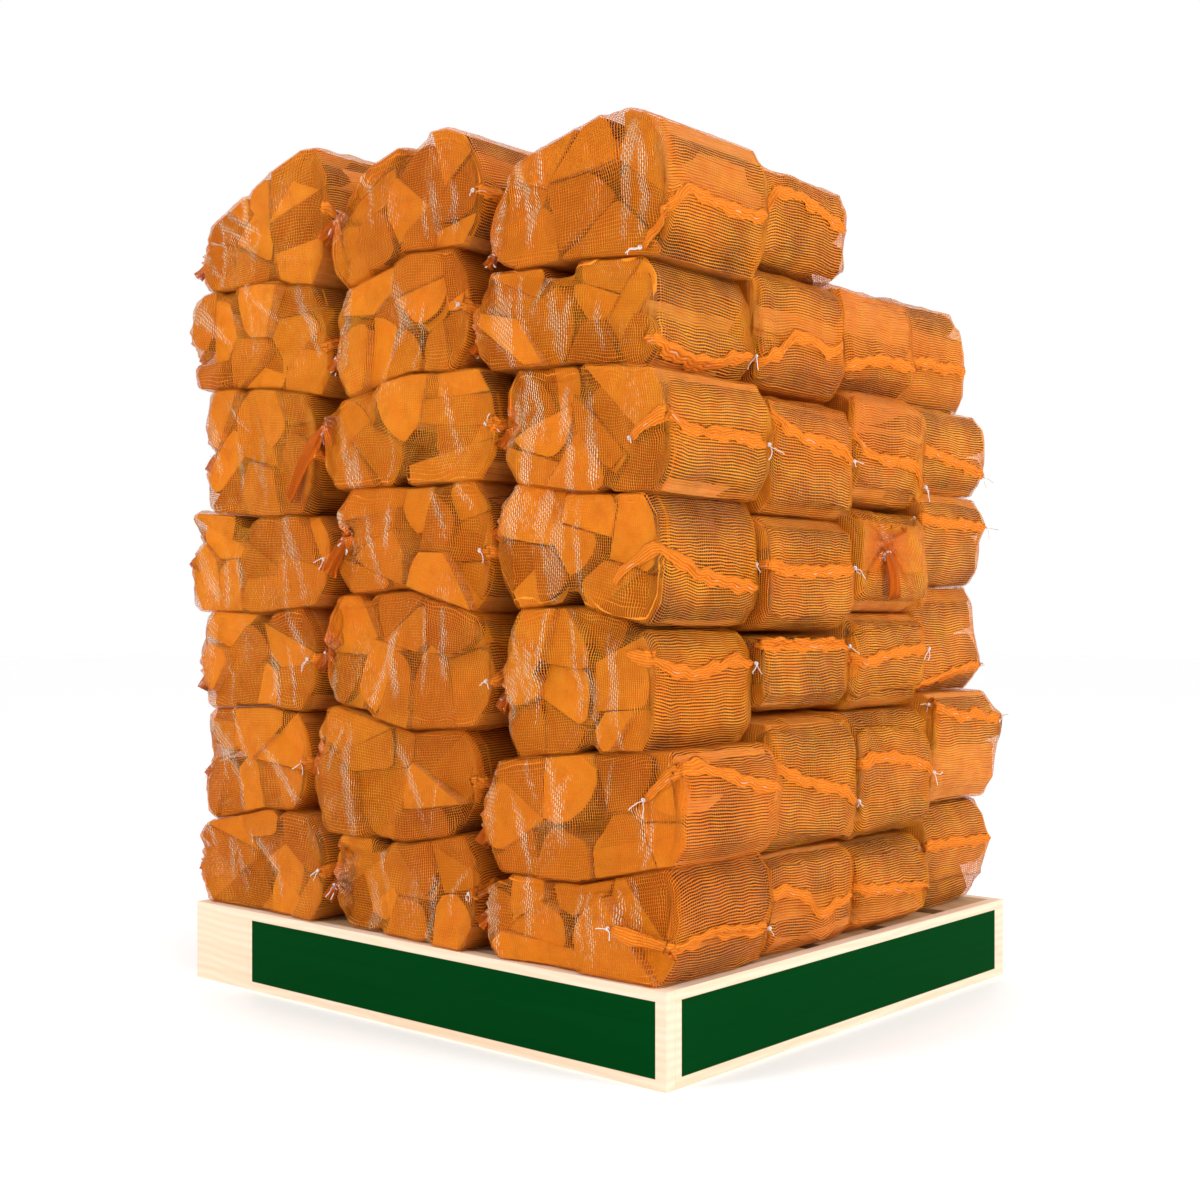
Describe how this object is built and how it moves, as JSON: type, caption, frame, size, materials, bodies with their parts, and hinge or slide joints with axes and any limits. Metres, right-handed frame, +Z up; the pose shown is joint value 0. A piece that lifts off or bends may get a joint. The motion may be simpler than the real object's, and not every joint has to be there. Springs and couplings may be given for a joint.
{
  "type": "pallet of bagged firewood logs",
  "caption": "Boarded pallet stacked with orange net sacks of short split beech logs, log ends to the front and sack seams to the right.",
  "frame": {"origin": "middle of the pallet's underside, on the floor", "axes": "+Z up, -Y towards the long side that shows the log ends, +X towards the side that shows the sack seams"},
  "size_m": [1.28, 1.08, 1.5934],
  "materials": {
    "sack_net": "glossy knitted plastic net",
    "log_wood": "split kiln-dried beech with grey-brown bark",
    "fresh_board": "planed pale softwood with a printed green panel",
    "pallet_wood": "rough sawn softwood",
    "tie_string": "thin white draw string"
  },
  "bodies": {
    "root": {"sack_front_left_1": "sack_net", "sack_front_left_2": "sack_net", "sack_front_left_3": "sack_net", "sack_front_left_4": "sack_net", "sack_front_left_5": "sack_net", "sack_front_left_6": "sack_net", "sack_front_left_7": "sack_net", "sack_front_middle_1": "sack_net", "sack_front_middle_2": "sack_net", "sack_front_middle_3": "sack_net", "sack_front_middle_4": "sack_net", "sack_front_middle_5": "sack_net", "sack_front_middle_6": "sack_net", "sack_front_middle_7": "sack_net", "sack_corner_1": "sack_net", "sack_corner_2": "sack_net", "sack_corner_3": "sack_net", "sack_corner_4": "sack_net", "sack_corner_5": "sack_net", "sack_corner_6": "sack_net", "sack_corner_7": "sack_net", "sack_right_second_1": "sack_net", "sack_right_second_2": "sack_net", "sack_right_second_3": "sack_net", "sack_right_second_4": "sack_net", "sack_right_second_5": "sack_net", "sack_right_second_6": "sack_net", "sack_right_second_7": "sack_net", "sack_right_third_1": "sack_net", "sack_right_third_2": "sack_net", "sack_right_third_3": "sack_net", "sack_right_third_4": "sack_net", "sack_right_third_5": "sack_net", "sack_right_third_6": "sack_net", "sack_right_back_1": "sack_net", "sack_right_back_2": "sack_net", "sack_right_back_3": "sack_net", "sack_right_back_4": "sack_net", "sack_right_back_5": "sack_net", "sack_right_back_6": "sack_net", "back_sacks_layer_1": "sack_net", "back_sacks_layer_2": "sack_net", "back_sacks_layer_3": "sack_net", "back_sacks_layer_4": "sack_net", "back_sacks_layer_5": "sack_net", "back_sacks_layer_6": "sack_net", "back_sacks_layer_7": "sack_net", "front_board": "fresh_board", "back_board": "fresh_board", "left_board": "fresh_board", "right_board": "fresh_board", "deck_board_1": "pallet_wood", "deck_board_2": "pallet_wood", "deck_board_3": "pallet_wood", "deck_board_4": "pallet_wood", "deck_board_5": "pallet_wood", "bearer_left": "pallet_wood", "bearer_middle": "pallet_wood", "bearer_right": "pallet_wood"}
  },
  "joints": []
}
